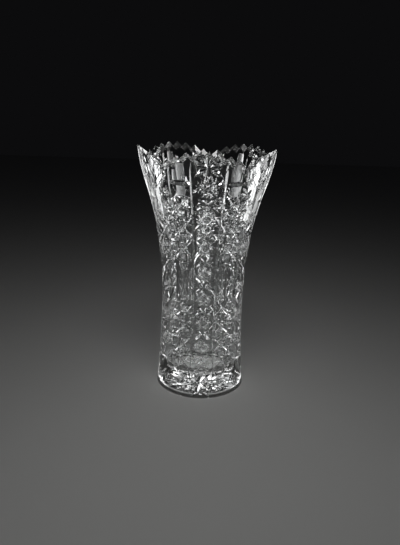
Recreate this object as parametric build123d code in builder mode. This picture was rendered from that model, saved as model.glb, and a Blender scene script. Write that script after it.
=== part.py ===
from build123d import *
import os
from math import atan, cos, pi, radians, sin, tan

# Cut crystal vase: one thick, blown and wheel-cut piece of lead crystal.
# Frame: millimetres, +Z up, origin in the middle of the face that it stands on.
# The front is -Y, where one of the three columns of cut stars is centred.

# Driving sizes
junction_height = 288.0   # lowest rim notches, where two scallops meet
scallop_rise = 11.5       # how much higher the notches are in the middle of a scallop
tooth_height = 5.6        # from a notch up to the tooth tips beside it, on the outer edge
scallops = 5
teeth_per_scallop = 8
rim_turn = -5.0           # degrees from the back that the rearmost scallop junction stands off

foot_radius = 56.7
foot_edge = 1.6           # rounding of the edge that the vase stands on
waist_radius = 51.2
waist_height = 98.0
body_radius = 54.0
body_height = 168.0
flare_radius = 65.6
flare_height = 236.0
rim_radius = 83.2

wall_at_waist = 7.6
wall_at_flare = 6.8
wall_at_rim = 6.0
floor_thickness = 24.0
floor_corner = 20.0       # rounding inside, between the floor and the wall

recess_radius = 42.0      # hollow ground into the underside, inside the foot ring
recess_depth = 1.6

star_columns = 3
column_half_angle = 14.3  # degrees from a star column's middle to its edge grooves
groove_depth = 1.7        # long upright mitre grooves along the star columns
groove_half_width = 1.9

# Derived sizes
teeth = scallops * teeth_per_scallop
tooth_pitch = 360.0 / teeth
peak_height = junction_height + scallop_rise + tooth_height
blank_height = peak_height + 1.0
inner_rim_radius = rim_radius - wall_at_rim
half_tooth = pi * rim_radius / teeth
notch_slope = radians(32)  # the notches and the teeth run down towards the inside
notch_half_angle = atan(half_tooth / (tooth_height * cos(notch_slope)))


def notch_height(angle: float) -> float:
    """Height of a notch's outer end, by its angle in degrees from a scallop junction."""
    along = (angle / (360.0 / scallops)) % 1.0
    return junction_height + scallop_rise * (1.0 - (2.0 * along - 1.0) ** 2)


def upright_plane(angle: float) -> Plane:
    """The plane through the axis that faces a compass angle, counted from the front."""
    turn = radians(angle)
    return Plane(origin=(0, 0, 0), x_dir=(sin(turn), -cos(turn), 0), z_dir=(-cos(turn), -sin(turn), 0))


outer_points = [
    (foot_radius - 0.7, 6.0),
    (waist_radius + 1.8, waist_height * 0.5),
    (waist_radius, waist_height),
    (body_radius, body_height),
    (flare_radius, flare_height),
    (80.5, junction_height),
    (rim_radius, blank_height),
]
inner_points = [
    (foot_radius - 9.6, floor_thickness + floor_corner),
    (waist_radius - wall_at_waist, waist_height),
    (body_radius - wall_at_waist + 0.3, body_height),
    (flare_radius - wall_at_flare, flare_height),
    (inner_rim_radius, blank_height),
]

with BuildPart() as vase_body:
    # The blank: a waisted, flared vessel with a thick floor
    with BuildSketch(Plane.XZ):
        with BuildLine():
            outer = Spline(outer_points)
            inner = Spline(inner_points)
            Line(outer @ 1, inner @ 1)
            corner = (inner_points[0][0] - floor_corner, floor_thickness)
            TangentArc(inner @ 0, corner, tangent=-1 * (inner % 0))
            Line(corner, (0, floor_thickness))
            Line((0, floor_thickness), (0, recess_depth))
            Line((0, recess_depth), (recess_radius, recess_depth))
            Line((recess_radius, recess_depth), (recess_radius + 1.0, 0))
            Line((recess_radius + 1.0, 0), (foot_radius - foot_edge, 0))
            Line((foot_radius - foot_edge, 0), (foot_radius, foot_edge))
            Line((foot_radius, foot_edge), outer @ 0)
        make_face()
    revolve(axis=Axis.Z)

    # Rim: V notches round a scalloped line leave the saw teeth
    run_in = 12.0
    notch_top = 26.0
    for notch in range(teeth):
        from_junction = notch * tooth_pitch
        turn = radians(180.0 + rim_turn + from_junction)
        out = Vector(sin(turn), -cos(turn), 0)
        along = out * -cos(notch_slope) - Vector(0, 0, sin(notch_slope))
        start_height = notch_height(from_junction) + run_in * tan(notch_slope)
        start = out * (rim_radius + run_in) + Vector(0, 0, start_height)
        across = Vector(-cos(turn), -sin(turn), 0)
        with BuildSketch(Plane(origin=start, x_dir=across, z_dir=along)):
            with BuildLine():
                side = notch_top * tan(notch_half_angle)
                Polyline((0, 0), (side, notch_top), (-side, notch_top), close=True)
            make_face()
        extrude(amount=30.0, mode=Mode.SUBTRACT)

    # Upright mitre grooves on both edges of each star column
    for column in range(star_columns):
        for side in (-1, 1):
            angle = column * 360.0 / star_columns + side * column_half_angle
            face = upright_plane(angle)
            with BuildLine(face) as groove_line:
                Spline(outer_points)
            path = groove_line.line
            with BuildSketch(Plane(origin=path @ 0, x_dir=face.z_dir, z_dir=path % 0)):
                with BuildLine():
                    rise = 1.2
                    spread = groove_half_width * (groove_depth + rise) / groove_depth
                    Polyline((0, -groove_depth), (spread, rise), (-spread, rise), close=True)
                make_face()
            sweep(path=path, mode=Mode.SUBTRACT)

vase_body.part.label = "vase_body"

os.makedirs("parts", exist_ok=True)
export_step(vase_body.part, "parts/vase_body.step")
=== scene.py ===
"""Cut lead crystal vase, made the way a cutting shop makes one.

A heavy blank is blown, flared at the lip and fire polished. Every mitre, star,
button and flute is then ground into its outside with a wheel, the rim is
notched into teeth in five scallops, and all cuts but the milky tablets are
polished bright.
"""

import logging
import math
from dataclasses import dataclass, field
from enum import Enum
from typing import Any, Iterable, Sequence

import bmesh
import bpy
import numpy as np
from mathutils import Matrix, Vector


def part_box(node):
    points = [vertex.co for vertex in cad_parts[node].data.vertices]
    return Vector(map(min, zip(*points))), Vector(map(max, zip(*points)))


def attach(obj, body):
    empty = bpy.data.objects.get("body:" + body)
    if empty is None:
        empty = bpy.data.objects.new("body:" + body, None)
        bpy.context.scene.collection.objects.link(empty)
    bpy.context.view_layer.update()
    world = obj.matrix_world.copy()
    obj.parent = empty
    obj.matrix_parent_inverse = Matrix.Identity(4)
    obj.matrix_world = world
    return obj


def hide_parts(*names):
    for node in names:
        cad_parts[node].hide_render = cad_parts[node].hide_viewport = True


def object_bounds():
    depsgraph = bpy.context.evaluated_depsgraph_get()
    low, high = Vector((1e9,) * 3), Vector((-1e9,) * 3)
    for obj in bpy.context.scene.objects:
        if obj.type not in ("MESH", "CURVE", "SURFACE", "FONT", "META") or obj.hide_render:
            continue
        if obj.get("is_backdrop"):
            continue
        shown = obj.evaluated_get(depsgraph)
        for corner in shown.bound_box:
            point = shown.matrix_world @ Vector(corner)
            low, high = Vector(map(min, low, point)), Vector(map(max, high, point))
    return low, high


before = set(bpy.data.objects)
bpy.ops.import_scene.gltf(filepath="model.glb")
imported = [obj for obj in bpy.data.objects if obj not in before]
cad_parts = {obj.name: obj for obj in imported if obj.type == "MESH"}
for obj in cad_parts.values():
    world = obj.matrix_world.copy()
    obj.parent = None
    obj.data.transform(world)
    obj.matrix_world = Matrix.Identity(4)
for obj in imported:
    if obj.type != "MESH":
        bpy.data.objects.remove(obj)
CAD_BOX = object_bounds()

log = logging.getLogger("cut_crystal_vase")

VASE_NODE = "vase_body"
DESIGN_HEIGHT = 305.0
FULL_TURN = 2.0 * math.pi

Point = tuple[float, float]
Triangle = tuple[int, int, int]


# ---------------------------------------------------------------- small tools

def srgb(code: str) -> tuple[float, float, float, float]:
    """Turn an sRGB hex colour into Blender's linear colour.

    Args:
        code: Six hex digits, with or without a leading #.

    Returns:
        Red, green, blue and alpha, linear.
    """
    digits = code.lstrip("#")
    channels = [int(digits[i:i + 2], 16) / 255.0 for i in (0, 2, 4)]
    linear = [c / 12.92 if c <= 0.04045 else ((c + 0.055) / 1.055) ** 2.4 for c in channels]
    return (linear[0], linear[1], linear[2], 1.0)


def add_node(
    tree: bpy.types.NodeTree,
    kind: str,
    settings: dict[str, Any] | None = None,
    values: dict[str | int, Any] | None = None,
    links: dict[str | int, bpy.types.NodeSocket] | None = None,
) -> bpy.types.Node:
    """Add one node, set it up and wire its inputs.

    Args:
        tree: The node tree that takes the node.
        kind: Blender's type name of the node.
        settings: Properties of the node itself.
        values: Constant values of its input sockets, by name or number.
        links: Output sockets that feed its inputs, by name or number.

    Returns:
        The new node.
    """
    node = tree.nodes.new(kind)
    for name, value in (settings or {}).items():
        setattr(node, name, value)
    for name, value in (values or {}).items():
        node.inputs[name].default_value = value
    for name, source in (links or {}).items():
        tree.links.new(source, node.inputs[name])
    return node


def repeats_per_metre(size: float) -> float:
    """Return the scale of a pattern from the real size of one repeat, in millimetres."""
    return 1000.0 / size


def new_material(name: str) -> tuple[bpy.types.Material, bpy.types.NodeTree]:
    """Make a material with an empty node tree, and return both."""
    material = bpy.data.materials.new(name)
    material.use_nodes = True
    material.node_tree.nodes.clear()
    return material, material.node_tree


def natural_spline(knots: Sequence[Point], where: np.ndarray) -> np.ndarray:
    """Evaluate a natural cubic spline.

    Args:
        knots: Pairs of (radius, height), rising in height.
        where: Heights to evaluate at.

    Returns:
        The radius at each height.
    """
    radius, height = (np.array(side, float) for side in zip(*knots))
    step = np.diff(height)
    slope = np.diff(radius) / step
    count = len(height)
    system = np.eye(count)
    target = np.zeros(count)
    for i in range(1, count - 1):
        system[i, i - 1:i + 2] = step[i - 1], 2.0 * (step[i - 1] + step[i]), step[i]
        target[i] = 6.0 * (slope[i] - slope[i - 1])
    bend = np.linalg.solve(system, target)
    span = np.clip(np.searchsorted(height, where) - 1, 0, count - 2)
    width = step[span]
    after = (where - height[span]) / width
    before = 1.0 - after
    cubic = (before ** 3 - before) * bend[span] + (after ** 3 - after) * bend[span + 1]
    return before * radius[span] + after * radius[span + 1] + cubic * width ** 2 / 6.0


def triangle_mesh(name: str, points: np.ndarray, faces: Sequence[Sequence[int]]) -> bpy.types.Mesh:
    """Make a mesh from points and faces.

    Args:
        name: Name of the mesh.
        points: One row of x, y and z for each point.
        faces: Point numbers of each face, anticlockwise from outside.

    Returns:
        The mesh.
    """
    mesh = bpy.data.meshes.new(name)
    mesh.from_pydata(points.tolist(), [], [tuple(face) for face in faces])
    mesh.update()
    return mesh


# ------------------------------------------------------------------- profile

@dataclass
class BlankProfile:
    """Outline of the blown blank, in millimetres of the design.

    Angles are measured round the vase from the front, rising to the right.
    Heights up the outside are also given as a climb: the length along the
    wall divided by the radius there, so that a shape drawn in angle and climb
    keeps its proportions on the flared wall.
    """

    outer_knots: tuple[Point, ...] = (
        (56.7, 1.6), (56.0, 6.0), (53.0, 49.0), (51.2, 98.0),
        (54.0, 168.0), (65.6, 236.0), (80.5, 288.0), (83.2, 306.1),
    )
    inner_knots: tuple[Point, ...] = (
        (47.1, 44.0), (43.6, 98.0), (46.7, 168.0), (58.8, 236.0), (77.2, 306.1),
    )
    foot_edge: float = 1.6
    floor_height: float = 24.0
    floor_corner: float = 20.0
    recess_radius: float = 42.0
    recess_depth: float = 1.6
    samples: int = 2000
    heights: np.ndarray = field(init=False)
    radii: np.ndarray = field(init=False)
    climbs: np.ndarray = field(init=False)

    def __post_init__(self) -> None:
        """Tabulate the outline and the climb."""
        top = self.outer_knots[-1][1]
        self.heights = np.linspace(0.0, top, self.samples)
        above = np.maximum(self.heights, self.outer_knots[0][1])
        self.radii = natural_spline(self.outer_knots, above)
        run = np.hypot(np.diff(self.heights), np.diff(self.radii))
        middle = 0.5 * (self.radii[1:] + self.radii[:-1])
        self.climbs = np.concatenate(([0.0], np.cumsum(run / middle)))

    def outer_radius(self, height: float | np.ndarray) -> Any:
        """Return the outer radius at a height."""
        return np.interp(height, self.heights, self.radii)

    def inner_radius(self, height: float | np.ndarray) -> Any:
        """Return the inner radius at a height above the floor corner."""
        return natural_spline(self.inner_knots, np.atleast_1d(np.asarray(height, float)))

    def frame_at(self, angle: np.ndarray, climb: np.ndarray) -> tuple[np.ndarray, ...]:
        """Find the wall and its directions at points of the outside.

        Args:
            angle: Angles from the front, in radians.
            climb: Climbs, as the class describes them.

        Returns:
            The points, the outward normals, the directions round the vase,
            the directions up the wall, and the radii.
        """
        height = np.interp(climb, self.climbs, self.heights)
        step = 0.5
        radius = self.outer_radius(height)
        lean = (self.outer_radius(height + step) - self.outer_radius(height - step)) / (2.0 * step)
        length = np.hypot(lean, 1.0)
        sine, cosine, zero = np.sin(angle), np.cos(angle), np.zeros_like(angle)
        point = np.stack([radius * sine, -radius * cosine, height], 1)
        normal = np.stack([sine / length, -cosine / length, -lean / length], 1)
        around = np.stack([cosine, sine, zero], 1)
        upward = np.stack([lean * sine / length, -lean * cosine / length, 1.0 / length], 1)
        return point, normal, around, upward, radius


# -------------------------------------------------------------------- cutters

class Finish(Enum):
    """Surface that a tool leaves, numbered as the vase's materials are."""

    FIRE_POLISHED = 0
    WHEEL_CUT = 1
    FINE_GROUND = 2


class CutKind(Enum):
    """How deep a mitre is along its length."""

    LENS = "lens"
    LONG = "long"


@dataclass
class Cutter:
    """One closed body that the wheel takes out of the blank."""

    points: np.ndarray
    faces: list[Triangle]
    reach: np.ndarray
    finish: Finish


@dataclass
class CuttingWheel:
    """Turns strokes drawn in angle and climb into cutters.

    Attributes:
        profile: The blank that is cut.
        clearance: How far a cutter stands out of the wall, in millimetres.
        cutters: All cutters made so far.
    """

    profile: BlankProfile
    clearance: float = 0.45
    cutters: list[Cutter] = field(default_factory=list)

    def mitre(
        self,
        path: Sequence[Point],
        half_width: float,
        kind: CutKind = CutKind.LENS,
        flank: float = 52.0,
        run_out: float = 0.12,
    ) -> None:
        """Cut one V-shaped groove.

        Args:
            path: Corners of the stroke in angle and climb.
            half_width: Half the groove's width at its widest, in the same units.
            kind: Whether the depth swells like a lens or stays level.
            flank: Angle between each flank and the wall's normal, in degrees.
            run_out: Length of each end over which a long cut comes up.
        """
        corners = np.array(path, float)
        lengths = np.hypot(*np.diff(corners, axis=0).T)
        total = lengths.sum()
        along = np.concatenate(([0.0], np.cumsum(lengths))) / total
        if kind is CutKind.LENS:
            count = max(5, int(total / 0.08) | 1)
            place = np.linspace(0.0, 1.0, count)
            fullness = 1.0 - (2.0 * place - 1.0) ** 2
        else:
            ends = np.linspace(0.0, run_out / total, 4)
            middle = np.linspace(ends[-1], 1.0 - ends[-1], max(2, int(total / 0.11)))[1:-1]
            place = np.concatenate((ends, middle, 1.0 - ends[::-1]))
            rise = np.minimum(1.0, np.minimum(place, 1.0 - place) * total / run_out)
            fullness = 1.0 - (1.0 - rise) ** 2
        middle_of = np.array([np.interp(place, along, corners[:, i]) for i in (0, 1)])
        grow = self._grow(corners, half_width, flank, kind)
        centre = 0.5 * (corners[0] + corners[-1])
        if kind is CutKind.LENS:
            middle_of = centre[:, None] + (middle_of - centre[:, None]) * grow
        point, normal, around, upward, radius = self.profile.frame_at(middle_of[0], middle_of[1])
        heading = np.gradient(middle_of, axis=1)
        heading /= np.hypot(*heading)
        forward = around * heading[0][:, None] + upward * heading[1][:, None]
        side = np.cross(normal, forward)
        full_depth = half_width * radius / math.tan(math.radians(flank))
        depth = (full_depth + self.clearance) * fullness - self.clearance
        reach = (depth + self.clearance) * math.tan(math.radians(flank))
        crown = point + normal * self.clearance
        bottom = point - normal * depth[:, None]
        left = crown - side * reach[:, None]
        right = crown + side * reach[:, None]
        self._add(bottom, left, right, point, reach)

    def _grow(self, corners: np.ndarray, half_width: float, flank: float, kind: CutKind) -> float:
        """Return how much longer a lens is drawn so that its visible part has its full length."""
        if kind is not CutKind.LENS:
            return 1.0
        radius = self.profile.frame_at(corners[:1, 0], corners[:1, 1])[4][0]
        full_depth = half_width * radius / math.tan(math.radians(flank))
        return math.sqrt((full_depth + self.clearance) / full_depth)

    def _add(
        self, bottom: np.ndarray, left: np.ndarray, right: np.ndarray,
        spine: np.ndarray, reach: np.ndarray,
    ) -> None:
        """Close a groove's three edges into one cutter with pointed ends."""
        inner = range(1, len(bottom) - 1)
        points = [0.5 * (left[0] + right[0])]
        for i in inner:
            points += [bottom[i], left[i], right[i]]
        points.append(0.5 * (left[-1] + right[-1]))
        last = len(points) - 1
        faces: list[Triangle] = [(0, 2, 1), (0, 3, 2), (0, 1, 3)]
        for k in range(len(inner) - 1):
            low, high = 1 + 3 * k, 4 + 3 * k
            for a, b in ((0, 1), (1, 2), (2, 0)):
                faces.append((low + a, low + b, high + b))
                faces.append((low + a, high + b, high + a))
        tail = last - 3
        faces += [(tail, tail + 1, last), (tail + 1, tail + 2, last), (tail + 2, tail, last)]
        self._store(points, faces, np.column_stack([spine, reach + self.clearance]))

    def dent(self, centre: Point, half_width: float, hollow: float = 0.18) -> None:
        """Grind a shallow round hollow.

        Args:
            centre: Its middle, in angle and climb.
            half_width: Its radius, in the same units.
            hollow: Its depth as a share of its radius.
        """
        sides, rings = 12, 3
        point, normal, around, upward, radius = (
            value[0] for value in self.profile.frame_at(np.array([centre[0]]), np.array([centre[1]])))
        size = half_width * radius
        depth = size * hollow
        full = depth + self.clearance
        stretch = math.sqrt(full / depth)
        points = [point - normal * depth]
        for ring in range(1, rings + 1):
            share = ring / rings
            lift = normal * (full * share ** 2 - depth)
            for k in range(sides):
                turn = FULL_TURN * k / sides
                out = around * math.cos(turn) + upward * math.sin(turn)
                points.append(point + lift + out * size * stretch * share)
        points.append(point + normal * self.clearance)
        last = len(points) - 1
        faces: list[Triangle] = []
        for k in range(sides):
            after = (k + 1) % sides
            faces.append((0, 1 + after, 1 + k))
            for ring in range(rings - 1):
                low, high = 1 + ring * sides, 1 + (ring + 1) * sides
                faces.append((low + k, low + after, high + after))
                faces.append((low + k, high + after, high + k))
            top = 1 + (rings - 1) * sides
            faces.append((top + k, top + after, last))
        self._store(points, faces, np.array([[*point, size * stretch]]))

    def tablet(self, centre: Point, half_size: Point, depth: float, bevel: float = 0.6) -> None:
        """Grind an upright tablet, hollow across and straight from end to end.

        Args:
            centre: Its middle, in angle and climb.
            half_size: Half its width and half its height, in the same units.
            depth: How far its middle lies under the wall, in millimetres.
            bevel: How far each end slopes in towards the bottom, in millimetres.
        """
        strips = 8
        point, normal, around, upward, radius = (
            value[0] for value in self.profile.frame_at(np.array([centre[0]]), np.array([centre[1]])))
        full = depth + self.clearance
        half_across = half_size[0] * radius * math.sqrt(full / depth)
        half_up = half_size[1] * radius
        points = []
        for strip in range(strips + 1):
            share = 2.0 * strip / strips - 1.0
            middle = point + around * half_across * share + normal * (full * share ** 2 - depth)
            end = upward * (half_up - bevel * (1.0 - share ** 2))
            points += [middle - end, middle + end]
        last = 2 * strips
        faces: list[Triangle] = [(0, 1, last + 1), (0, last + 1, last)]
        for low in range(0, last, 2):
            faces += [(low, low + 2, low + 3), (low, low + 3, low + 1)]
        for low in range(2, last, 2):
            faces += [(0, low + 2, low), (1, low + 1, low + 3)]
        ball = np.array([[*point, math.hypot(half_across, half_up) + full]])
        self._store(points, faces, ball, Finish.FINE_GROUND)

    def _store(
        self, points: list[np.ndarray], faces: list[Triangle], bound: np.ndarray,
        finish: Finish = Finish.WHEEL_CUT,
    ) -> None:
        """Keep one cutter, with its faces turned outward.

        Args:
            points: Its corners.
            faces: Its triangles, all wound the same way.
            bound: Balls that hold it, as rows of x, y, z and radius.
            finish: Surface that it leaves on the vase.
        """
        corners = np.array(points)
        a, b, c = (corners[[face[i] for face in faces]] for i in range(3))
        if np.einsum("ij,ij->", a, np.cross(b, c)) < 0.0:
            faces = [(face[0], face[2], face[1]) for face in faces]
        self.cutters.append(Cutter(corners, faces, bound, finish))

    def batches(self) -> list[list[Cutter]]:
        """Sort the cutters into groups in which none touches another.

        Returns:
            The groups, each of which can be ground away in one pass.
        """
        groups: list[list[Cutter]] = []
        bounds: list[np.ndarray] = []
        for cutter in self.cutters:
            for number, taken in enumerate(bounds):
                gap = np.linalg.norm(taken[:, None, :3] - cutter.reach[None, :, :3], axis=2)
                if (gap > taken[:, None, 3] + cutter.reach[None, :, 3] + 0.05).all():
                    groups[number].append(cutter)
                    bounds[number] = np.concatenate((taken, cutter.reach))
                    break
            else:
                groups.append([cutter])
                bounds.append(cutter.reach)
        return groups


# ---------------------------------------------------------------------- blank

@dataclass
class CrystalBlank:
    """The blown blank: heavy wall, scalloped and toothed rim, star-cut underside.

    Attributes:
        profile: Its outline.
        scallops: How many scallops go round the rim.
        teeth_per_scallop: How many saw teeth stand on each.
        junction_height: Lowest notches, where two scallops meet, in millimetres.
        scallop_rise: How much higher the notches are in the middle of a scallop.
        tooth_height: From a notch up to the tips beside it, on the outer edge.
        rim_turn: Angle of one scallop junction from the front.
        notch_slope: How steeply the notches run down towards the inside.
        columns_per_tooth: Mesh columns across one tooth of the rim.
        row_step: Distance between mesh rows up the wall, in millimetres.
        inner_rows: Mesh rows down the inside, from the rim to the floor corner.
        rim_start: Height above which the rows bend towards the teeth.
        rim_rows: How many rows do so.
        star_points: Rays of the star under the foot.
        star_radius: Its radius, in millimetres.
        star_depth: Depth of its rays at their deepest, in millimetres.
        star_flank: Angle between a ray's flank and upright.
        star_rings: Mesh rings across the star.
    """

    profile: BlankProfile
    scallops: int = 5
    teeth_per_scallop: int = 8
    junction_height: float = 288.0
    scallop_rise: float = 11.5
    tooth_height: float = 5.6
    rim_turn: float = math.radians(175.0)
    notch_slope: float = math.radians(32.0)
    columns_per_tooth: int = 4
    row_step: float = 7.0
    inner_rows: int = 24
    rim_start: float = 280.0
    rim_rows: int = 5
    star_points: int = 20
    star_radius: float = 40.0
    star_depth: float = 1.7
    star_flank: float = math.radians(52.0)
    star_rings: int = 12

    @property
    def teeth(self) -> int:
        """Return how many teeth the rim has."""
        return self.scallops * self.teeth_per_scallop

    @property
    def columns(self) -> int:
        """Return how many mesh columns go round the vase."""
        return self.teeth * self.columns_per_tooth

    def _notch_height(self, number: int) -> float:
        """Return the height of a notch's lowest line at the outer edge."""
        share = (number / self.teeth_per_scallop) % 1.0
        return self.junction_height + self.scallop_rise * (1.0 - (2.0 * share - 1.0) ** 2)

    def _rim_point(self, column: int, radius: float) -> tuple[float, float]:
        """Find where a mesh column meets the rim.

        Args:
            column: Number of the column.
            radius: Distance from the axis, in millimetres.

        Returns:
            The angle of the column at the rim, and the height of the rim there.
        """
        tooth, part = divmod(column, self.columns_per_tooth)
        pitch = FULL_TURN / self.teeth
        outer = self.profile.outer_knots[-1][0]
        rise = self.tooth_height / (0.5 * pitch * outer)
        low, next_low = self._notch_height(tooth), self._notch_height(tooth + 1)
        fall = (outer - radius) * math.tan(self.notch_slope)
        crest = 0.5 * pitch + (next_low - low) / (2.0 * rise * radius)
        share = 2.0 * part / self.columns_per_tooth
        if share <= 1.0:
            offset = crest * share
            height = low + rise * radius * offset
        else:
            offset = crest + (pitch - crest) * (share - 1.0)
            height = next_low + rise * radius * (pitch - offset)
        return self.rim_turn + tooth * pitch + offset, height - fall

    def _ring(self, radius: float, height: float) -> np.ndarray:
        """Return one level ring of points."""
        angle = self.rim_turn + FULL_TURN * np.arange(self.columns) / self.columns
        level = np.full(self.columns, height)
        return np.stack([radius * np.sin(angle), -radius * np.cos(angle), level], 1)

    def _rim_rings(self, radius_at: Any) -> list[np.ndarray]:
        """Build the rings between the last level one and the teeth.

        Args:
            radius_at: Function from height to the radius of the wall's surface.

        Returns:
            The rings, from the lowest to the one on the rim.
        """
        rings = [np.zeros((self.columns, 3)) for _ in range(self.rim_rows)]
        for column in range(self.columns):
            even = self.rim_turn + FULL_TURN * column / self.columns
            radius = float(radius_at(self.junction_height))
            for _ in range(3):
                angle, height = self._rim_point(column, radius)
                radius = float(radius_at(height))
            for row in range(self.rim_rows):
                share = (row + 1) / self.rim_rows
                turn = even + (angle - even) * share
                level = self.rim_start + (height - self.rim_start) * share
                out = float(radius_at(level))
                rings[row][column] = out * math.sin(turn), -out * math.cos(turn), level
        return rings

    def _underside(self) -> list[np.ndarray]:
        """Build the underside from the middle out: star, recess and foot ring."""
        rings = []
        angle = FULL_TURN * np.arange(self.columns) / self.columns
        pitch = FULL_TURN / self.star_points
        off_ray = np.abs((angle + 0.5 * pitch) % pitch - 0.5 * pitch)
        middle = 0.42 * self.star_radius
        for radius in np.linspace(0.05, 1.0, self.star_rings) * self.star_radius:
            swell = 1.0 - ((radius - middle) / (self.star_radius - middle)) ** 2
            depth = self.star_depth * max(0.0, swell)
            groove = np.maximum(0.0, depth - radius * off_ray / math.tan(self.star_flank))
            ring = self._ring(float(radius), self.profile.recess_depth)
            ring[:, 2] += groove
            rings.append(ring)
        rings.append(self._ring(self.profile.recess_radius, self.profile.recess_depth))
        rings.append(self._ring(self.profile.recess_radius + 1.0, 0.0))
        foot = self.profile.outer_knots[0][0]
        rings.append(self._ring(foot - self.profile.foot_edge, 0.0))
        return rings

    def rings(self) -> list[np.ndarray]:
        """Build every ring, from the middle of the underside over the rim to the floor."""
        profile = self.profile
        outer_levels = np.arange(profile.foot_edge, self.rim_start, self.row_step)
        rings = self._underside()
        rings += [self._ring(float(profile.outer_radius(z)), float(z)) for z in outer_levels]
        rings += self._rim_rings(profile.outer_radius)
        inside = self._rim_rings(lambda z: profile.inner_radius(z)[0])
        bottom = profile.floor_height + profile.floor_corner
        inner_levels = np.linspace(self.rim_start, bottom, self.inner_rows)
        inside.reverse()
        inside += [self._ring(float(profile.inner_radius(z)[0]), float(z)) for z in inner_levels]
        corner = profile.inner_knots[0][0] - profile.floor_corner
        for turn in np.linspace(0.0, 0.5 * math.pi, 9)[1:]:
            radius = corner + profile.floor_corner * math.cos(turn)
            inside.append(self._ring(radius, bottom - profile.floor_corner * math.sin(turn)))
        inside += [self._ring(corner * share, profile.floor_height) for share in (0.66, 0.33)]
        return rings + inside

    def build(self) -> bpy.types.Mesh:
        """Build the blank as one closed mesh, in millimetres."""
        rings = self.rings()
        count = self.columns
        start = np.array([[0.0, 0.0, self.profile.recess_depth]])
        end = np.array([[0.0, 0.0, self.profile.floor_height]])
        points = np.concatenate([start, *rings, end])
        last = len(points) - 1
        faces: list[tuple[int, ...]] = []
        for column in range(count):
            after = (column + 1) % count
            faces.append((0, 1 + after, 1 + column))
            for row in range(len(rings) - 1):
                low, high = 1 + row * count, 1 + (row + 1) * count
                faces.append((low + column, low + after, high + after, high + column))
            top = last - count
            faces.append((top + column, top + after, last))
        return triangle_mesh("blank", points, faces)


# -------------------------------------------------------------------- pattern

@dataclass(frozen=True)
class Star:
    """Many-pointed star of chords that leave a raised round button in its middle."""

    centre: Point
    radius: float
    points: int = 16
    skip: int = 6
    half_width: float = 0.019
    button: float = 0.055

    def cut(self, wheel: CuttingWheel) -> None:
        """Cut the chords, then hollow the button."""
        across, up = self.centre
        turns = [FULL_TURN * (k + 0.5) / self.points for k in range(self.points)]
        tips = [(across + self.radius * math.sin(t), up + self.radius * math.cos(t)) for t in turns]
        for k in range(self.points):
            wheel.mitre([tips[k], tips[(k + self.skip) % self.points]], self.half_width)
        wheel.dent(self.centre, self.button)


@dataclass(frozen=True)
class StarColumn:
    """Upright band of crosses and many-pointed stars between two deep mitres.

    Widths here and below are half-widths in angle, and heights are climbs.

    Attributes:
        centre: Angle of its middle from the front.
        half_width: From its middle to each border.
        first_cross: Climb of the lowest cross.
        pitch: Climb from one cross to the next.
        crosses: How many there are.
        top: Climb at which the borders end.
        foot: Climb at which they begin.
        star_radius: Radius of the stars between the crosses.
        ray_width: Width of the crosses' rays.
        border_width: Width of the borders.
    """

    centre: float
    half_width: float = 0.25
    first_cross: float = 0.389
    pitch: float = 0.5896
    crosses: int = 9
    top: float = 5.20
    foot: float = 0.06
    star_radius: float = 0.2
    ray_width: float = 0.042
    border_width: float = 0.022

    def cut(self, wheel: CuttingWheel) -> None:
        """Cut the column's border, crosses and stars, and the chevron at the foot."""
        for side in (-1.0, 1.0):
            edge = self.centre + side * self.half_width
            wheel.mitre([(edge, self.foot), (edge, self.top)], self.border_width, CutKind.LONG, 50.0, 0.2)
            ends = [(self.centre, 0.16), (self.centre + side * 0.2, 0.05)]
            wheel.mitre(ends, self.ray_width)
        for number in range(self.crosses):
            level = self.first_cross + number * self.pitch
            self._cross(wheel, level, number == self.crosses - 1)
            if number + 1 < self.crosses:
                Star((self.centre, level + 0.5 * self.pitch), self.star_radius).cut(wheel)

    def _cross(self, wheel: CuttingWheel, level: float, last: bool) -> None:
        """Cut six rays out of one point; the last cross throws its upper two to the border."""
        rise = (0.235, 0.115) if last else (0.17, 0.12)
        for side in (-1.0, 1.0):
            for across, up in ((0.19, 0.0), (0.2, -0.13), rise):
                tip = (self.centre + side * across, level + up)
                root = (self.centre + side * 0.04 * across, level + 0.04 * up)
                wheel.mitre([root, tip], self.ray_width if up else 0.7 * self.ray_width)


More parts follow.
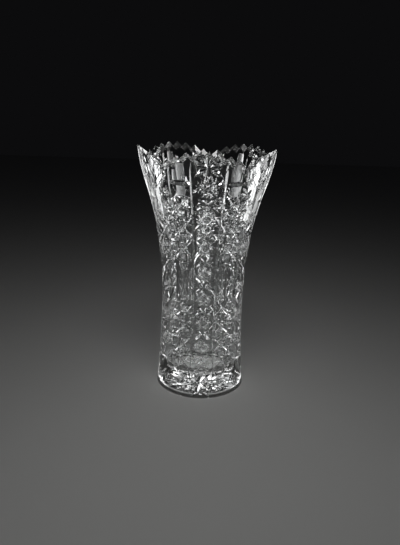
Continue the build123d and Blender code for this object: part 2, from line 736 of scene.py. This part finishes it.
@dataclass(frozen=True)
class Lattice:
    """Diagonal net of mitres with a square button in each cell.

    Attributes:
        left: Angle of its left edge.
        right: Angle of its right edge.
        foot: Climb of its lower edge.
        top: Climb of its upper edge.
        column: Angle of one column of cells.
        level: Climb of one row of cells.
        cell: Distance between neighbouring cells of one row.
        net_width: Width of the net's mitres.
        button_away: From the button's middle to the cuts that square it off.
        button_half: Half the length of those cuts.
        level_width: Width of the level ones.
        upright_width: Width of the upright ones.
        button_dent: Radius of the hollow in its top.
        corner_length: Length of the short rays in the cell's corners.
        corner_width: Width of those rays.
        corner_tilt: Angle of those rays from the cell's own axes.
    """

    left: float
    right: float
    foot: float
    top: float
    column: float
    level: float
    cell: float = 0.445
    net_width: float = 0.013
    button_away: float = 0.115
    button_half: float = 0.1
    level_width: float = 0.036
    upright_width: float = 0.031
    button_dent: float = 0.055
    corner_length: float = 0.1
    corner_width: float = 0.014
    corner_tilt: float = 0.3

    def cut(self, wheel: CuttingWheel) -> None:
        """Cut the net, then the cells whose middle lies inside it."""
        self._net(wheel)
        half = 0.5 * self.cell
        across = int((self.right - self.left) / half) + 3
        up = int((self.top - self.foot) / half) + 3
        for i in range(-across, across):
            for j in range(-up, up):
                if (i + j) % 2:
                    continue
                spot = (self.column + i * half, self.level + j * half)
                inside = self.left + 0.06 < spot[0] < self.right - 0.06
                if inside and self.foot + 0.06 < spot[1] < self.top - 0.06:
                    self._cell(wheel, spot)

    def _net(self, wheel: CuttingWheel) -> None:
        """Cut the long mitres of both slants, each from edge to edge."""
        count = int((self.top - self.foot + self.right - self.left) / self.cell) + 2
        for slant in (-1.0, 1.0):
            for number in range(-count, count):
                offset = (number + 0.5) * self.cell
                ends = []
                for across in (self.left, self.right):
                    ends.append(self.level + slant * (across - self.column) + offset)
                low, high = min(ends), max(ends)
                if high <= self.foot + 0.1 or low >= self.top - 0.1:
                    continue
                stroke = []
                for across, up in zip((self.left, self.right), ends):
                    level = min(max(up, self.foot), self.top)
                    stroke.append((across + (level - up) / slant, level))
                wheel.mitre(stroke, self.net_width, CutKind.LONG, 50.0, 0.05)

    def _cell(self, wheel: CuttingWheel, spot: Point) -> None:
        """Square a button off with four short cuts, hollow its top and fan its corners."""
        across, up = spot
        half, reach, length = self.button_half, 0.5 * self.cell, self.corner_length
        for side in (-self.button_away, self.button_away):
            wheel.mitre([(across - half, up + side), (across + half, up + side)], self.level_width)
            wheel.mitre([(across + side, up - half), (across + side, up + half)], self.upright_width)
        wheel.dent(spot, self.button_dent)
        for quarter in range(4):
            turn = quarter * 0.5 * math.pi
            corner = (across + reach * math.sin(turn), up + reach * math.cos(turn))
            for tilt in (-self.corner_tilt, self.corner_tilt):
                inward = turn + math.pi + tilt
                tip = (corner[0] + length * math.sin(inward), corner[1] + length * math.cos(inward))
                wheel.mitre([corner, tip], self.corner_width)


@dataclass(frozen=True)
class LadderPanel:
    """Band beside a star column: tablets, net, flutes and net, from the rim down."""

    centre: float
    side: float
    near: float = 0.285
    far: float = 0.80
    flute_foot: float = 2.30
    flute_top: float = 3.23
    flute_pitch: float = 0.095
    flutes: int = 4

    def cut(self, wheel: CuttingWheel) -> None:
        """Cut the panel from the rim down."""
        self._tablets(wheel)
        edges = sorted((self.centre + self.side * self.near, self.centre + self.side * self.far))
        column = self.centre + self.side * 0.445
        Lattice(edges[0], edges[1], 3.27, 4.62, column, 4.29).cut(wheel)
        Lattice(edges[0], edges[1], 0.42, 2.26, column, 1.977).cut(wheel)
        for number in range(self.flutes):
            across = self.centre + self.side * (0.2975 + self.flute_pitch * number)
            stroke = [(across, self.flute_foot), (across, self.flute_top)]
            wheel.mitre(stroke, 0.045, CutKind.LONG, 58.0, 0.16)

    def _tablets(self, wheel: CuttingWheel) -> None:
        """Grind the tall and the square tablet, with a level mitre between them."""
        for inner, outer, foot, top in ((0.335, 0.475, 4.91, 5.16), (0.335, 0.5, 4.65, 4.83)):
            edges = sorted((self.centre + self.side * inner, self.centre + self.side * outer))
            middle = (0.5 * (edges[0] + edges[1]), 0.5 * (foot + top))
            wheel.tablet(middle, (0.5 * (edges[1] - edges[0]), 0.5 * (top - foot)), 0.9)
        ends = [(self.centre + self.side * across, 4.87) for across in (0.29, 0.6)]
        wheel.mitre(ends, 0.03, CutKind.LONG, 50.0, 0.06)


@dataclass(frozen=True)
class FanPanel:
    """Wide panel between two ladders: fans at both ends, crosses and an arch between."""

    centre: float

    def cut(self, wheel: CuttingWheel) -> None:
        """Cut the panel from the rim down."""
        self._fan(wheel, 4.62, 1.0, 0.6, 9, 44.0)
        self._fan(wheel, 0.85, -1.0, 0.74, 9, 32.0)
        for level in (3.84, 3.14):
            for across, up in ((0.22, 0.22), (-0.22, 0.22), (0.22, -0.22), (-0.22, -0.22)):
                wheel.mitre([(self.centre, level), (self.centre + across, level + up)], 0.03)
            Star((self.centre, level + 0.35), 0.2).cut(wheel)
        for side in (-1.0, 1.0):
            arch = ((0.02, 3.06), (0.2, 2.85), (0.27, 2.63), (0.2, 2.4), (0.0, 2.2))
            stroke = [(self.centre + side * across, level) for across, level in arch]
            wheel.mitre(stroke, 0.032, CutKind.LONG, 50.0, 0.1)
        for level, size in ((2.62, 0.17), (1.9, 0.2), (1.3, 0.2)):
            Star((self.centre, level), size).cut(wheel)

    def _fan(
        self, wheel: CuttingWheel, root: float, way: float, length: float, rays: int, spread: float,
    ) -> None:
        """Cut rays that open out of one point.

        Args:
            wheel: The wheel that cuts them.
            root: Climb of the point they leave.
            way: 1 for upward, -1 for downward.
            length: Length of each ray.
            rays: How many there are.
            spread: Angle of the outermost ray from upright, in degrees.
        """
        for number in range(rays):
            turn = math.radians(spread) * (2.0 * number / (rays - 1) - 1.0)
            across, up = math.sin(turn), way * math.cos(turn)
            ends = [(self.centre + reach * across, root + reach * up) for reach in (0.08, length)]
            wheel.mitre(ends, 0.03)


# ---------------------------------------------------------------------- glass

@dataclass
class CutCrystalVase:
    """The whole vase: one piece of lead crystal."""

    height: float
    profile: BlankProfile = field(default_factory=BlankProfile)
    repeats: int = 3

    def build(self) -> bpy.types.Object:
        """Blow the blank, cut the pattern into it and bring it to size.

        Returns:
            The finished vase.
        """
        blank = CrystalBlank(self.profile).build()
        vase = bpy.data.objects.new("cut_crystal_vase", blank)
        bpy.context.scene.collection.objects.link(vase)
        for finish in (FirePolishedCrystal(), WheelCutCrystal(), FineGroundCrystal()):
            vase.data.materials.append(finish.build())
        wheel = CuttingWheel(self.profile)
        for number in range(self.repeats):
            turn = FULL_TURN * number / self.repeats
            StarColumn(turn).cut(wheel)
            FanPanel(turn + 0.5 * FULL_TURN / self.repeats).cut(wheel)
            for side in (-1.0, 1.0):
                LadderPanel(turn, side).cut(wheel)
        batches = wheel.batches()
        log.info("%d cuts in %d passes of the wheel", len(wheel.cutters), len(batches))
        for batch in batches:
            self._grind(vase, batch)
        self._finish(vase)
        return vase

    def _grind(self, vase: bpy.types.Object, batch: Iterable[Cutter]) -> None:
        """Take one group of cutters out of the vase."""
        points, faces, finishes, offset = [], [], [], 0
        for cutter in batch:
            finishes += [cutter.finish.value] * len(cutter.faces)
            points.append(cutter.points)
            faces += [tuple(corner + offset for corner in face) for face in cutter.faces]
            offset += len(cutter.points)
        mesh = triangle_mesh("cutters", np.concatenate(points), faces)
        for material in vase.data.materials:
            mesh.materials.append(material)
        mesh.polygons.foreach_set("material_index", finishes)
        tool = bpy.data.objects.new("cutters", mesh)
        bpy.context.scene.collection.objects.link(tool)
        cut = vase.modifiers.new("cut", "BOOLEAN")
        cut.operation = "DIFFERENCE"
        cut.solver = "MANIFOLD"
        cut.object = tool
        graph = bpy.context.evaluated_depsgraph_get()
        ground = bpy.data.meshes.new_from_object(vase.evaluated_get(graph))
        vase.modifiers.clear()
        spent = vase.data
        vase.data = ground
        bpy.data.objects.remove(tool)
        bpy.data.meshes.remove(mesh)
        bpy.data.meshes.remove(spent)

    def _clear_chips(self, mesh: bpy.types.Mesh) -> int:
        """Drop the loose slivers that crossing cuts leave free of the wall.

        Args:
            mesh: The cut vase.

        Returns:
            How many loose pieces were dropped.
        """
        form = bmesh.new()
        form.from_mesh(mesh)
        islands: list[list[Any]] = []
        seen: set[Any] = set()
        for seed in form.verts:
            if seed in seen:
                continue
            seen.add(seed)
            island = [seed]
            for corner in island:
                for edge in corner.link_edges:
                    other = edge.other_vert(corner)
                    if other not in seen:
                        seen.add(other)
                        island.append(other)
            islands.append(island)
        islands.sort(key=len)
        chips = [corner for island in islands[:-1] for corner in island]
        bmesh.ops.delete(form, geom=chips, context="VERTS")
        form.to_mesh(mesh)
        form.free()
        return len(islands) - 1

    def _finish(self, vase: bpy.types.Object) -> None:
        """Bring the vase to metres and keep every edge of the cuts crisp."""
        mesh = vase.data
        log.info("%d loose chips cleared", self._clear_chips(mesh))
        mesh.name = "cut_crystal_vase"
        mesh.transform(Matrix.Scale(self.height / DESIGN_HEIGHT, 4))
        mesh.polygons.foreach_set("use_smooth", [True] * len(mesh.polygons))
        mesh.set_sharp_from_angle(angle=math.radians(14.0))
        mesh.update()


@dataclass(frozen=True)
class FirePolishedCrystal:
    """Blown lead crystal, fire polished: clear and bright, with a faint wave from the blowing.

    Attributes:
        colour: Tint of the glass, as an sRGB hex code.
        index: Refractive index of 24 % lead crystal.
        wave_size: Width of one wave left by the blowing, in millimetres.
    """

    # Smooth skin that has flowed: clean deep reflections, bent a little by slow waves
    colour: str = "FCFDFD"
    index: float = 1.55
    wave_size: float = 16.0

    def build(self) -> bpy.types.Material:
        """Build the material."""
        material, tree = new_material("lead_crystal_fire_polished")
        place = add_node(tree, "ShaderNodeTexCoord")
        scale = repeats_per_metre(self.wave_size)
        wave = add_node(tree, "ShaderNodeTexNoise", values={"Scale": scale, "Detail": 2.0},
                        links={"Vector": place.outputs["Object"]})
        bump = add_node(tree, "ShaderNodeBump", values={"Strength": 0.12, "Distance": 0.0004},
                        links={"Height": wave.outputs["Fac"]})
        glass = add_node(
            tree, "ShaderNodeBsdfPrincipled",
            values={"Base Color": srgb(self.colour), "Roughness": 0.01, "IOR": self.index,
                    "Transmission Weight": 1.0},
            links={"Normal": bump.outputs["Normal"]})
        add_node(tree, "ShaderNodeOutputMaterial", links={"Surface": glass.outputs["BSDF"]})
        return material


def worked_crystal(name: str, finish: "WheelCutCrystal | FineGroundCrystal") -> bpy.types.Material:
    """Build a crystal whose roughness changes over the marks that a tool left.

    Args:
        name: Name of the material.
        finish: Its tint, index, marks and roughness.

    Returns:
        The material.
    """
    material, tree = new_material(name)
    place = add_node(tree, "ShaderNodeTexCoord")
    scale = repeats_per_metre(finish.mark_size)
    marks = add_node(tree, "ShaderNodeTexNoise", values={"Scale": scale, "Detail": 3.0},
                     links={"Vector": place.outputs["Object"]})
    low, high = finish.roughness
    rough = add_node(tree, "ShaderNodeMapRange", values={"To Min": low, "To Max": high},
                     links={"Value": marks.outputs["Fac"]})
    glass = add_node(
        tree, "ShaderNodeBsdfPrincipled",
        values={"Base Color": srgb(finish.colour), "IOR": finish.index, "Transmission Weight": 1.0},
        links={"Roughness": rough.outputs["Result"]})
    add_node(tree, "ShaderNodeOutputMaterial", links={"Surface": glass.outputs["BSDF"]})
    return material


@dataclass(frozen=True)
class WheelCutCrystal:
    """Lead crystal cut with a wheel and acid polished: bright, with fine wheel lines left in it.

    Attributes:
        colour: Tint of the glass, as an sRGB hex code.
        index: Refractive index of 24 % lead crystal.
        mark_size: Width of one patch of wheel lines, in millimetres.
        roughness: Smallest and largest roughness over the marks.
    """

    # Flat facets with sharp edges: hard sparkle, a shade softer where wheel lines are left.
    # Real wheel lines are 0.1 mm apart, too fine to be seen, so they are drawn 2.5 mm wide.
    colour: str = "FCFDFD"
    index: float = 1.55
    mark_size: float = 2.5
    roughness: tuple[float, float] = (0.01, 0.05)

    def build(self) -> bpy.types.Material:
        """Build the material."""
        return worked_crystal("lead_crystal_wheel_cut", self)


@dataclass(frozen=True)
class FineGroundCrystal:
    """Lead crystal left from the fine stone: a soft, milky sheen that spreads the light.

    Attributes:
        colour: Tint of the glass, as an sRGB hex code.
        index: Refractive index of 24 % lead crystal.
        mark_size: Width of one patch of stone marks, in millimetres.
        roughness: Smallest and largest roughness over the marks.
    """

    # Satin hollows: light is spread, so that they look milky white beside the clear glass.
    # Real stone marks are 0.03 mm wide, too fine to be seen, so they are drawn 2.5 mm wide.
    colour: str = "FCFDFD"
    index: float = 1.55
    mark_size: float = 2.5
    roughness: tuple[float, float] = (0.3, 0.5)

    def build(self) -> bpy.types.Material:
        """Build the material."""
        return worked_crystal("lead_crystal_fine_ground", self)


# --------------------------------------------------------------------- studio

@dataclass(frozen=True)
class StudioFloor:
    """Plain pale floor under the vase.

    Attributes:
        half_size: Half the width of the sheet, in metres.
        colour: Its colour, as an sRGB hex code.
        grain_size: Width of one grain of its matt coat, in millimetres.
    """

    # Matt coated board: no mirror image, only a soft even tone
    half_size: float = 3.0
    colour: str = "D6D6D4"
    grain_size: float = 1.1

    def build(self) -> bpy.types.Object:
        """Build the floor as a wide sheet whose top is at zero."""
        size = self.half_size
        corners = np.array([(-size, -size, 0), (size, -size, 0), (size, size, 0), (-size, size, 0)], float)
        floor = bpy.data.objects.new("floor", triangle_mesh("floor", corners, [(0, 1, 2, 3)]))
        bpy.context.scene.collection.objects.link(floor)
        material, tree = new_material("matt_studio_floor")
        place = add_node(tree, "ShaderNodeTexCoord")
        scale = repeats_per_metre(self.grain_size)
        grain = add_node(tree, "ShaderNodeTexNoise", values={"Scale": scale, "Detail": 2.0},
                         links={"Vector": place.outputs["Object"]})
        bump = add_node(tree, "ShaderNodeBump", values={"Strength": 0.1, "Distance": 0.0002},
                        links={"Height": grain.outputs["Fac"]})
        matt = add_node(tree, "ShaderNodeBsdfPrincipled",
                        values={"Base Color": srgb(self.colour), "Roughness": 0.75},
                        links={"Normal": bump.outputs["Normal"]})
        add_node(tree, "ShaderNodeOutputMaterial", links={"Surface": matt.outputs["BSDF"]})
        floor.data.materials.append(material)
        return floor


@dataclass(frozen=True)
class SoftBox:
    """One soft light panel, aimed at the vase."""

    name: str
    place: tuple[float, float, float]
    size: tuple[float, float]
    power: float
    spread: float = 180.0
    colour: str = "FFFFFF"
    target: tuple[float, float, float] = (0.0, 0.0, 0.15)

    def build(self) -> bpy.types.Object:
        """Build the light."""
        lamp = bpy.data.lights.new(self.name, "AREA")
        lamp.shape = "RECTANGLE"
        lamp.size, lamp.size_y = self.size
        lamp.energy = self.power
        lamp.spread = math.radians(self.spread)
        lamp.color = srgb(self.colour)[:3]
        light = bpy.data.objects.new(self.name, lamp)
        light.location = self.place
        aim = Vector(self.target) - Vector(self.place)
        light.rotation_euler = aim.to_track_quat("-Z", "Y").to_euler()
        light.visible_camera = False
        bpy.context.scene.collection.objects.link(light)
        return light


@dataclass(frozen=True)
class StudioCamera:
    """Camera a little above the rim, looking down at the vase.

    Attributes:
        distance: From the axis of the vase, in design millimetres.
        height: Above the floor, in design millimetres.
        pitch: Downward tilt, in degrees.
        roll: Clockwise turn of the camera about its own line of sight, in degrees.
        yaw: Turn to the right of the axis, in degrees.
        turn: How far the camera stands round to the left of the front, in degrees.
        lens: Focal length over a 36 mm wide sensor, in millimetres.
    """

    distance: float = 691.2
    height: float = 352.8
    pitch: float = 16.55
    roll: float = 1.90
    yaw: float = -0.32
    turn: float = -2.0
    lens: float = 51.21

    def build(self, unit: float) -> bpy.types.Object:
        """Build the camera and make it the scene's own.

        Args:
            unit: Metres in one design millimetre.

        Returns:
            The camera.
        """
        pitch, roll, yaw = (math.radians(value) for value in (self.pitch, self.roll, self.yaw))
        right = Vector((math.cos(yaw), -math.sin(yaw), 0.0))
        ahead = Vector((math.cos(pitch) * math.sin(yaw), math.cos(pitch) * math.cos(yaw), -math.sin(pitch)))
        upward = right.cross(ahead)
        across = math.cos(roll) * right + math.sin(roll) * upward
        above = -math.sin(roll) * right + math.cos(roll) * upward
        axes = Matrix((across, above, -ahead)).transposed().to_4x4()
        lens = bpy.data.cameras.new("studio_camera")
        lens.sensor_fit = "HORIZONTAL"
        lens.sensor_width = 36.0
        lens.lens = self.lens
        lens.clip_start = 0.01
        camera = bpy.data.objects.new("studio_camera", lens)
        place = Matrix.Translation((0.0, -self.distance * unit, self.height * unit))
        camera.matrix_world = Matrix.Rotation(math.radians(self.turn), 4, "Z") @ place @ axes
        bpy.context.scene.collection.objects.link(camera)
        bpy.context.scene.camera = camera
        return camera


def light_studio(vase: bpy.types.Object, floor: bpy.types.Object) -> None:
    """Set the surroundings, the light panels and how light is followed through the glass.

    Args:
        vase: The piece that the sparkle panels light; the floor takes no light from them.
        floor: The only thing that stops the through panel's light, as clear glass lets it by.
    """
    scene = bpy.context.scene
    world = bpy.data.worlds.new("studio_air")
    scene.world = world
    world.use_nodes = True
    world.node_tree.nodes["Background"].inputs["Color"].default_value = srgb("0C0C0D")
    world.node_tree.nodes["Background"].inputs["Strength"].default_value = 1.0
    SoftBox("pool_panel", (0.0, -0.3, 0.75), (0.22, 0.22), 0.5, target=(0.0, -0.25, 0.0)).build()
    through = SoftBox("through_panel", (0.0, -0.3, 0.75), (0.22, 0.22), 0.45, target=(0.0, -0.25, 0.0))
    opaque = bpy.data.collections.new("opaque_things")
    opaque.objects.link(floor)
    through.build().light_linking.blocker_collection = opaque
    sparkle = bpy.data.collections.new("sparkle_receivers")
    sparkle.objects.link(vase)
    panels = (
        SoftBox("top_panel", (0.0, 0.2, 1.0), (0.7, 0.4), 1.2),
        SoftBox("front_top_panel", (0.0, -0.5, 1.0), (0.6, 0.25), 1.2),
        SoftBox("left_panel", (-0.8, 0.15, 0.2), (0.3, 0.36), 1.0),
        SoftBox("right_panel", (0.8, 0.2, 0.2), (0.3, 0.36), 1.0),
        SoftBox("left_back_panel", (-0.55, 0.65, 0.3), (0.3, 0.6), 0.35),
        SoftBox("right_back_panel", (0.6, 0.6, 0.3), (0.3, 0.6), 0.35),
        SoftBox("left_strip_panel", (-0.3, 0.7, 0.24), (0.15, 0.4), 0.33),
        SoftBox("right_strip_panel", (0.3, 0.7, 0.24), (0.15, 0.4), 0.33),
        SoftBox("left_rim_panel", (-0.55, 0.7, 0.9), (0.5, 0.4), 2.8, target=(0.0, 0.0, 0.3)),
        SoftBox("right_rim_panel", (0.55, 0.7, 0.9), (0.5, 0.4), 2.8, target=(0.0, 0.0, 0.3)),
    )
    for panel in panels:
        light = panel.build()
        light.light_linking.receiver_collection = sparkle
    scene.cycles.max_bounces = 24
    scene.cycles.transmission_bounces = 24
    scene.cycles.glossy_bounces = 8
    scene.cycles.use_denoising = True
    scene.cycles.sample_clamp_indirect = 3.0
    scene.view_settings.view_transform = "Standard"


def main() -> None:
    """Build the vase and its studio, and tie the vase to the frame."""
    logging.basicConfig(level=logging.INFO, format="%(name)s: %(message)s")
    low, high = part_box(VASE_NODE)
    height = high[2] - low[2]
    vase = CutCrystalVase(height).build()
    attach(vase, "root")
    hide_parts(VASE_NODE)
    log.info("vase: %d faces", len(vase.data.polygons))
    floor = StudioFloor().build()
    floor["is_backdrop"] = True
    light_studio(vase, floor)
    StudioCamera().build(height / DESIGN_HEIGHT)
    boxes = ([list(map(float, corner)) for corner in box] for box in (CAD_BOX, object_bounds()))
    list(boxes)


if __name__ == "__main__":
    main()
